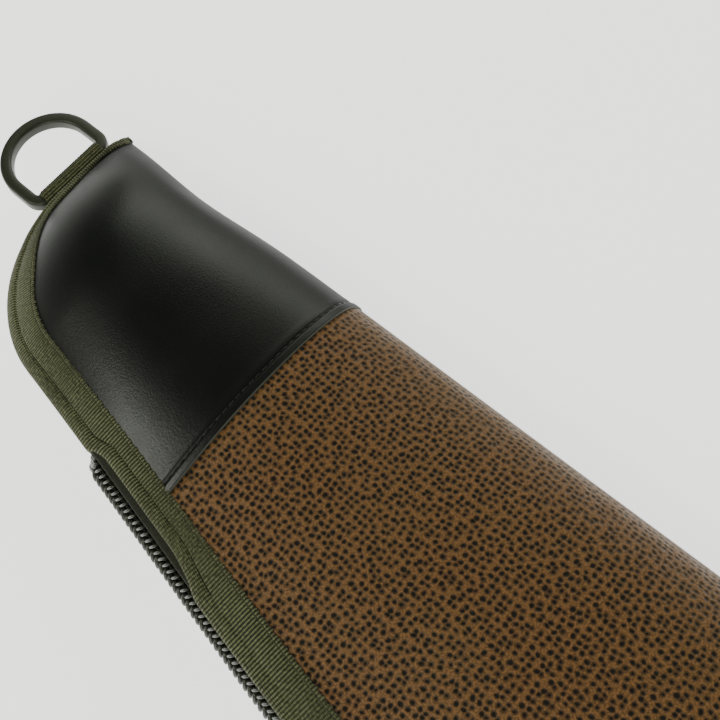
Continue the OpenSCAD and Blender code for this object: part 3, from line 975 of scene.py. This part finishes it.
def make_binding():
    nodes = {"front": ["tip_binding", "front_binding"], "rear": ["rear_binding"]}
    for side, name in SIDES:
        rings, uv, line, up = binding_rings(side)
        ribbon = sweep(name + "_edge_binding", rings, uv, BINDING)
        thread = stitches(name + "_binding_thread", line[90:-60], up[90:-60], STITCH, THREAD, 2.5, 0.24)
        sew_on(ribbon, side, nodes[name])
        sew_on(thread, side)


# ---- Zip

PITCH = 2.4
ZIP_STOP_Y = -44

# Near the tip the closed chain leans, with its rear row further out
LEAN = radians(25)


def lean_at(x, y):
    return (1 - ease((x - 215) / 80)) * (y < -60)


def zip_lengths():
    """The zip's first and last places by length along the edge."""
    return rim_length_to(ZIP_START), RIM_ENDS[3] + ZIP_STOP_Y - BUTT_CENTRE[1]


def tape_rings(side):
    first, last = zip_lengths()
    s = np.arange(first - 3, last + 1, 1.1)
    point, inward = rim_at(s)

    def skin(r, h):
        return on_skin(point, inward, r, h, side)

    def edge(out, z):
        return off_edge(point, inward, out, z, side)

    g = gap_at(point[:, 0], point[:, 1])
    share = lean_at(point[:, 0], point[:, 1])
    top, low = g - 1.0, g - 1.9
    upright = [(0.55, top), (0.35, low), (-0.1, 5.2), (-0.45, 4.6), (-0.5, 0.6), (-1.3, 0.6), (-1.3, 5.6)]
    if side > 0:
        leaning = [(0.55, top), (0.4, low), (0.2, 5.2), (0.0, 4.6), (-0.1, 0.7), (-0.9, 0.7), (-1.0, 5.5)]
    else:
        leaning = [(1.2, top), (2.0, low), (2.9, 5.4), (3.1, 4.8), (1.35, 0.6), (0.55, 0.8), (1.9, 5.0)]
    rings = [skin(4.6, 0.32), skin(2.4, 0.36), skin(0.9, 0.36), skin(0.1, 0.36), edge(0.5, g)]
    rings += [edge(a + (c - a) * share, b + (d - b) * share) for (a, b), (c, d) in zip(upright, leaning)]
    rings += [edge(-8.9, 5.9), edge(-9.0, 6.7), edge(-1.2, 6.75), edge(0.05, g - 0.9), edge(0.1, g)]
    rings += [skin(0.4, 0.05), skin(2.4, 0.05), skin(4.6, 0.05)]
    rings = np.stack(rings, 1)
    return rings, grid_uv(s, running_length(rings.mean(0)))


def teeth(name, side, offset):
    """A nylon coil's loops, one for each tooth, slanted along the tape."""
    first, last = zip_lengths()
    s = np.arange(first + 1.5 + offset, last - 1.5, PITCH)
    point, inward = rim_at(s)
    flat = np.column_stack([-inward, 0 * s])
    run = np.column_stack([inward[:, 1], -inward[:, 0], 0 * s])
    share = lean_at(point[:, 0], point[:, 1])[:, None]
    middle = np.column_stack([point, np.full(len(s), MID)]) + (1.1 + 1.6 * share) * flat
    middle[:, 2] += 0.35 * share[:, 0]
    turn = LEAN * share
    up = np.tile((0, 0, 1.0), (len(s), 1))
    rise = (np.cos(turn) * up - np.sin(turn) * flat) * side
    out = np.cos(turn) * flat + np.sin(turn) * up
    slant = 0.5
    long_axis = unit(rise + slant * run)
    side_axis = unit(run - slant * rise)
    places = middle + (2.55 - 0.3 * share) * rise
    axes = np.stack([side_axis, out, long_axis], 1)
    return scatter(name, ball(8, 10, (0.68, 1.5, 2.5)), places, axes, TEETH)


def make_zip():
    for side, name in SIDES:
        rings, uv = tape_rings(side)
        tape = sweep(name + "_tape_run", rings, uv, TAPE)
        coil = teeth(name + "_coil_run", side, 0 if side > 0 else PITCH / 2)
        for piece, kind, slot in ((tape, "tape", "zip_tape"), (coil, "coil", "zip_teeth")):
            nodes = [f"zip_tip_{kind}"] if side > 0 else []
            sew_on(piece, side, nodes + [f"{name}_zip_{kind}"])


# ---- Hardware

# The pull's pin over the zip's middle, and the pull's length from there
PIN_HEIGHT = 6.6
PULL_LENGTH = 34


def zip_frame(x, mirror=False):
    """Matrix from the zip's own axes, X towards the tip, Y out and Z up, to the case's millimetres."""
    turn = pi - TAPER
    place = Matrix.Translation((x, -width_at(x), MID)) @ Matrix.Rotation(turn, 4, "Z")
    return place @ Matrix.Diagonal((-1, 1, 1, 1)) if mirror else place


def slab(bm, outline, low, high, axis, bevel):
    """Adds an outline, drawn across axis y or z, as a slab from low to high with rounded edges."""
    def lay(u, v, w):
        return (u, w, v) if axis == "y" else (u, v, w)

    bottom = [bm.verts.new(lay(u, v, low)) for u, v in outline]
    top = [bm.verts.new(lay(u, v, high)) for u, v in outline]
    faces = [bm.faces.new(bottom[::-1]), bm.faces.new(top)]
    count = len(outline)
    for i in range(count):
        j = (i + 1) % count
        faces.append(bm.faces.new((bottom[i], bottom[j], top[j], top[i])))
    bmesh.ops.recalc_face_normals(bm, faces=faces)
    if bevel:
        rims = {e for f in faces[:2] for e in f.edges}
        bmesh.ops.bevel(bm, geom=list(rims), offset=bevel, segments=3, affect="EDGES", profile=0.5)


def arc(x, y, radius, start, end, count):
    """Points along an arc, with both its ends."""
    angles = np.linspace(start, end, count)
    return [(x + radius * cos(a), y + radius * sin(a)) for a in angles]


def rounded(width, height, radius, steps=6, centre=(0, 0)):
    """Outline of a rectangle with round corners."""
    points = []
    for k, (sx, sy) in enumerate(((1, 1), (-1, 1), (-1, -1), (1, -1))):
        x = centre[0] + sx * (width / 2 - radius)
        y = centre[1] + sy * (height / 2 - radius)
        points += arc(x, y, radius, pi / 2 * k, pi / 2 * (k + 1), steps + 1)
    return points


def bmesh_object(name, bm, matrix, material):
    bmesh.ops.transform(bm, matrix=matrix, verts=bm.verts)
    for v in bm.verts:
        v.co = Vector(placed(v.co))
    bmesh.ops.recalc_face_normals(bm, faces=bm.faces)
    mesh = bpy.data.meshes.new(name)
    bm.to_mesh(mesh)
    bm.free()
    mesh.materials.append(material)
    obj = new_object(name, mesh)
    mesh.shade_smooth()
    with bpy.context.temp_override(active_object=obj, selected_objects=[obj], object=obj):
        mesh.set_sharp_from_angle(angle=radians(38))
    return obj


def slider_shape():
    """Slider: two shaped plates joined by a post, a flange along the rear coil, and ears with a pin."""
    bm = bmesh.new()
    shape = [(8.5, -3.6), (7.2, -6.2), (4.5, -6.6), (-1, -6.0), (-6.5, -5.2), (-8.3, -4.2), (-8.5, -2)]
    shape += [(u, -v) for u, v in shape[::-1]]
    slab(bm, shape, 3.0, 4.6, "y", 0.45)
    slab(bm, [(u * 0.94, v * 0.84) for u, v in shape], -3.4, -1.9, "y", 0.4)
    slab(bm, rounded(16, 1.1, 0.4, centre=(0, -5.75)), 0.2, 3.4, "y", 0.2)
    slab(bm, rounded(4, 0.4, 0.18, centre=(5, 0)), -2.4, 3.4, "y", 0)
    ear = [(-3, 4.2), (3, 4.2), (2.4, 6.2), (1.6, 7.6), (0, 8.1), (-1.6, 7.6), (-2.4, 6.2)]
    for z in (-2.6, 2.6):
        slab(bm, ear, z - 0.6, z + 0.6, "z", 0.25)
    slab(bm, arc(0, PIN_HEIGHT, 1, 0, 2 * pi, 21)[:-1], -3.4, 3.4, "z", 0.2)
    slab(bm, rounded(11, 3.0, 1.2, centre=(-0.5, 0)), 4.4, 4.95, "y", 0.2)
    return bm


def pull_shape():
    """Pull: an eye round the pin, and a waisted tab with a raised bar on each face."""
    bm = bmesh.new()
    eye = [(1.9, -1.6), (1.12, -1.6), (1.12, 1.6), (1.9, 1.6)]
    turns = arc(0, 0, 1, 0, 2 * pi, 25)[:-1]
    verts = [bm.verts.new((r * u, PIN_HEIGHT + r * v, z)) for u, v in turns for r, z in eye]
    for quad in grid_faces(len(turns), len(eye), wrap=True, closed=True):
        bm.faces.new([verts[v] for v in quad])
    half = [(1.5, 1.5), (5.5, 1.55), (8.0, 3.2), (10, 4.3), (15, 4.1), (22, 3.5), (28, 4.1), (31.2, 4.4)]
    half += [(PULL_LENGTH - 1.6, 3.6), (PULL_LENGTH - 0.3, 1.9)]
    slab(bm, [(u, -v) for u, v in half] + half[::-1], 5.9, 7.3, "y", 0.4)
    for low, high in ((7.2, 7.65), (5.55, 6.0)):
        slab(bm, rounded(13, 3.6, 1.6, centre=(18, 0)), low, high, "y", 0.2)
    return bm


def stop(name, node, matrix, along, out, height):
    """Folded clamp at a zip's end: a core and two bands, in axes that run along the zip, out and up."""
    bm = bmesh.new()
    slab(bm, rounded(along * 0.8, out * 0.8, 0.8), -height / 2 + 0.5, height / 2 - 0.5, "z", 0.5)
    for z in (2.4 - height / 2, height / 2 - 2.4):
        slab(bm, rounded(along * 0.9, out * 0.9, 0.9), z - 0.7, z + 0.7, "z", 0.35)
    finish_piece(bmesh_object(name, bm, matrix, TEETH), [node])


def make_hardware():
    for letter, mirror in (("a", False), ("b", True)):
        swing = JOINTS[f"pull_{letter}_swing"]["pos_m"]
        place = zip_frame((swing[0] - TIP_X) / MM + PIN_HEIGHT * sin(TAPER), mirror)
        slider, pull = "slider_" + letter, "pull_" + letter
        body = bmesh_object(slider + "_body", slider_shape(), place, METAL)
        finish_piece(body, [slider], slider)
        tab = bmesh_object(pull + "_tab", pull_shape(), place, METAL)
        finish_piece(tab, [pull], pull)
    low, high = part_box("zip_butt_stop")
    out, along, height = (high - low) / MM
    middle = (low + high) / 2
    butt = Matrix.Translation(((middle.x - TIP_X) / MM, (middle.y - FOLD_Y) / MM, middle.z / MM))
    butt = butt @ Matrix.Rotation(pi / 2, 4, "Z")
    stop("butt_end_stop", "zip_butt_stop", butt, along, out, height)
    lean = Matrix.Translation((0, 1.7, 0)) @ Matrix.Rotation(LEAN, 4, "X")
    stop("tip_end_stop", "zip_tip_stop", zip_frame(ZIP_START - 0.4) @ lean, along, out, height)


# ---- Ring and its webbing

RING_BAR = -4.6
RING_CENTRE = -17.0
RING_RADIUS = 17.9
RING_Y = -24.8
RING_CORNER = 4.4
RING_WEBBING = 30.0


def ring_path():
    """Centre line of the ring: the bar, two round corners, two arms and the half circle."""
    r, half = RING_CORNER, RING_RADIUS
    corner = RING_BAR - r
    points = [(RING_BAR, y) for y in np.linspace(r - half, half - r, 24)]
    points += arc(corner, half - r, r, 0, pi / 2, 9)[1:]
    points += [(x, half) for x in np.linspace(corner, RING_CENTRE, 6)[1:]]
    points += arc(RING_CENTRE, 0, half, pi / 2, 3 * pi / 2, 60)[1:]
    points += [(x, -half) for x in np.linspace(RING_CENTRE, corner, 6)[1:]]
    points += arc(corner, r - half, r, -pi / 2, 0, 9)[1:-1]
    return np.array(points)


def make_ring():
    path = ring_path()
    run = unit(np.roll(path, -1, 0) - np.roll(path, 1, 0))
    out = np.stack([run[:, 1], -run[:, 0]], -1)
    section = rounded(4.7, 4.6, 1.1, 5)
    rings = [np.column_stack([path + u * out, np.full(len(path), MID + w)]) for u, w in section]
    rings = np.stack(rings, 1) + (0, RING_Y, 0)
    ring = sweep("tip_d_ring", rings, None, PLASTIC, closed=True)
    finish_piece(ring, ["tip_ring"], "tip_ring")


def make_ring_webbing():
    """Webbing folded round the ring's bar and sewn into the tip seam, ribbed along the bar."""
    outer = [(2.5, 1.9), (0.6, 2.0), (-0.3, 2.2), (-0.9, 2.25), (-1.4, 1.9), (-1.9, 2.25)]
    for k, a in enumerate(np.linspace(0.36 * pi, pi, 25)):
        r = 3.62 + 0.14 * cos(pi * k / 2)
        outer.append((RING_BAR + r * cos(a), r * sin(a)))
    outer += [(x, -z) for x, z in outer[-2::-1]]
    inner = [(2.5, -0.15), (-0.2, -0.15), (-1.4, -0.7)]
    inner += arc(RING_BAR, 0, 2.75, -0.25, 0.25 - 2 * pi, 28)
    inner += [(-1.4, 0.7), (-0.2, 0.15), (2.5, 0.15)]
    loop = np.array(outer + inner)
    away = unit(loop[:len(outer)] - (RING_BAR, 0))
    places = np.linspace(0, RING_WEBBING, 81)
    rows = []
    for v in places - RING_WEBBING / 2:
        edge = ease((RING_WEBBING / 2 - abs(v)) / 1.2)
        ring = loop.copy()
        ring[:len(outer)] += away * (0.05 * sin(v * 2 * pi / 1.4) - 0.35 * (1 - edge))
        rows.append(np.column_stack([ring[:, 0], np.full(len(ring), RING_Y + v), MID + ring[:, 1]]))
    uv = grid_uv(places, running_length(loop))[..., ::-1]
    finish_piece(sweep("ring_webbing", np.array(rows), uv, WEBBING), ["ring_tab"])
    for side, face in SIDES:
        y = np.linspace(RING_Y - 14, RING_Y + 14, 40)
        line = np.column_stack([np.full(40, -0.95), y, np.full(40, MID + side * 2.25)])
        up = np.tile((0, 0, float(side)), (40, 1))
        thread = stitches(f"ring_webbing_thread_{face}", line, up, 2.8, THREAD, 2.1, 0.3)
        finish_piece(thread)


# ---- Handles

# Strap: its hinge out from the sewn edge and over the mid plane, the legs' half spacing, the bends'
# radius, the top over the edge, and how far in it is sewn to the front and to the rear
HINGE_OUT = 2.4
HINGE_RISE = 10.3
HANDLE_X = (JOINTS["front_handle_swing"]["pos_m"][0] - TIP_X) / MM + HINGE_OUT * sin(TAPER)
HANDLE_ORIGIN = np.array([HANDLE_X, -width_at(HANDLE_X)])
STRAP_T = 1.4
STRAP_HALF = 15.0
LEG = 100.0
BEND = 40.0
HANDLE_TOP = 70.0
FRONT_REACH = 45
REAR_REACH = 28

# Grip: half its length, width and thickness
GRIP_HALF = 55.0
GRIP_WIDE = 18
GRIP_DEEP = 4


def on_face(u, r, lift, side):
    """Points over a sewn strap's bed, u towards the tip from the handle's middle and r in from the edge."""
    lift = lift + 0.25 + 1.35 * (1 - ease((r - 11) / 5))
    inward = np.tile(-OUTWARD, (len(u), 1))
    return on_skin(HANDLE_ORIGIN + np.outer(u, -ALONG), inward, r, lift, side)


def strap_grid(side, reach):
    """Middle surface of a carry strap: up one leg, along the top and down the other."""
    across = np.linspace(-STRAP_HALF, STRAP_HALF, 13)

    def flat(u, v):
        place = HANDLE_ORIGIN + np.outer(u, -ALONG) + np.outer(v, OUTWARD)
        return np.column_stack([place, np.full(13, MID + side * HINGE_RISE)])

    def leg(sign):
        u = sign * (LEG + across)
        rows = [on_face(u, r, STRAP_T / 2, side) for r in np.arange(reach, 1.2, -1.6)]
        rows += [flat(u, v) for v in np.linspace(1.2, HANDLE_TOP - BEND, 16)]
        r = BEND + across
        for a in np.linspace(0, pi / 2, 22)[1:]:
            rows.append(flat(sign * (LEG - BEND + r * cos(a)), HANDLE_TOP - BEND + r * sin(a)))
        return rows

    top = [flat(u, HANDLE_TOP + across) for u in np.linspace(LEG - BEND, BEND - LEG, 22)[1:-1]]
    return np.array(leg(1) + top + leg(-1)[::-1])


def make_strap(side, name, base, reach):
    """A carry strap that bends at its hinge, sewn to base with a crossed box at the end of each leg."""
    grid = strap_grid(side, reach)
    up = normals(grid)
    up *= np.sign((up[..., 2] * side).mean())
    edge = 1 - 0.45 * (np.abs(np.linspace(-1, 1, 13)) ** 6)
    rib = np.where(np.arange(len(grid)) % 2 == 0, 0.05, -0.05)
    half = STRAP_T / 2 * edge[None, :, None] + rib[:, None, None]
    uv = grid_uv(running_length(grid[:, 6]), np.linspace(0, 2 * STRAP_HALF, 13))
    strap = between(name + "_strap", grid + up * half, grid - up * half, uv, WEBBING)
    hinge = Vector(JOINTS[name + "_swing"]["pos_m"])
    out = Vector((OUTWARD[0], OUTWARD[1], 0)) * MM
    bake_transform(strap, base, name, hinge - out * 1.2, hinge + out * 1.6)
    tag([name + "_ribbons", name + "_webbing"])

    wide, far, near = 12.5, reach - 2.2, 14
    corners = [(-wide, far), (wide, far), (wide, near), (-wide, near), (-wide, far), (wide, near)]
    corners += [(wide, far), (-wide, near)]
    path = []
    for (u0, r0), (u1, r1) in zip(corners[:-1], corners[1:]):
        count = max(2, int(hypot(u1 - u0, r1 - r0)))
        path += [(u0 + (u1 - u0) * k / count, r0 + (r1 - r0) * k / count) for k in range(count)]
    u, r = np.array(path).T
    for sign, end in ((1, "tip"), (-1, "butt")):
        line = on_face(sign * LEG + u, r, STRAP_T + 0.02, side)
        above = on_face(sign * LEG + u, r, STRAP_T + 1.02, side) - line
        thread = stitches(f"{name}_strap_thread_{end}", line, above, 3.0, THREAD, 2.2, 0.3)
        finish_piece(thread, (), base)


def make_grip(side, name):
    """Leather sleeve sewn round both the strap's edges, with a rolled hem at each end."""
    hem_run = np.linspace(0, 4, 9)
    plain_run = np.linspace(4 - GRIP_HALF, GRIP_HALF - 4, 40)
    us = np.concatenate([hem_run[:-1] - GRIP_HALF, plain_run, hem_run[1:] + GRIP_HALF - 4])
    q = GRIP_HALF - np.abs(us)
    swell = 0.55 * ease(q / 0.8) * (1 - ease((q - 2.4) / 1.0)) + 0.35 * ease(q / 30)
    section = np.array(rounded(2 * GRIP_WIDE, 2 * GRIP_DEEP, 3.98, 9))
    hole = np.array(rounded(STRAP_HALF * 2 + 0.6, STRAP_T + 0.6, 0.9, 9))

    def ring(points, u, grow):
        """A loop round the strap at u from the handle's middle, swollen by grow."""
        v, w = points.T
        share = np.hypot(v / GRIP_WIDE, w / GRIP_DEEP)
        out = HANDLE_TOP + v * (1 + grow / GRIP_WIDE)
        rise = MID + side * HINGE_RISE + w * (1 + grow / GRIP_DEEP * share)
        return np.column_stack([HANDLE_ORIGIN - u * ALONG + np.outer(out, OUTWARD), rise])

    loops = [ring(section, u, s - 0.55) for u, s in zip(us, swell)]
    loops = np.array(loops + [ring(hole, u, 0) for u in us[::-1]])
    # One uv pair for all of it, which is far from any fold or seam
    uv = np.full((*loops.shape[:2], 2), 40.0)
    grip = sweep(name + "_grip_sleeve", loops, uv, BLACK, closed=True)
    finish_piece(grip, [name + "_grip"], name)
    u = np.linspace(-50, 50, 60)
    flat = HANDLE_ORIGIN - np.outer(u, ALONG) + (HANDLE_TOP - 13.5) * OUTWARD
    line = np.column_stack([flat, np.full(60, MID + side * (HINGE_RISE + 3.85))])
    up = np.tile((0, 0, float(side)), (60, 1))
    thread = stitches(name + "_grip_thread", line, up, 4.0, DARK_THREAD, 3.0, 0.35)
    finish_piece(thread, (), name)


def make_handles():
    make_strap(1, "front_handle", "cover", FRONT_REACH)
    make_strap(-1, "rear_handle", "root", REAR_REACH)
    for side, name in SIDES:
        make_grip(side, name + "_handle")


make_camera()
make_sky()
make_lights()
make_floor()
make_leather()
make_padding()
cap_stitches()
make_binding()
make_zip()
make_hardware()
make_ring()
make_ring_webbing()
make_handles()
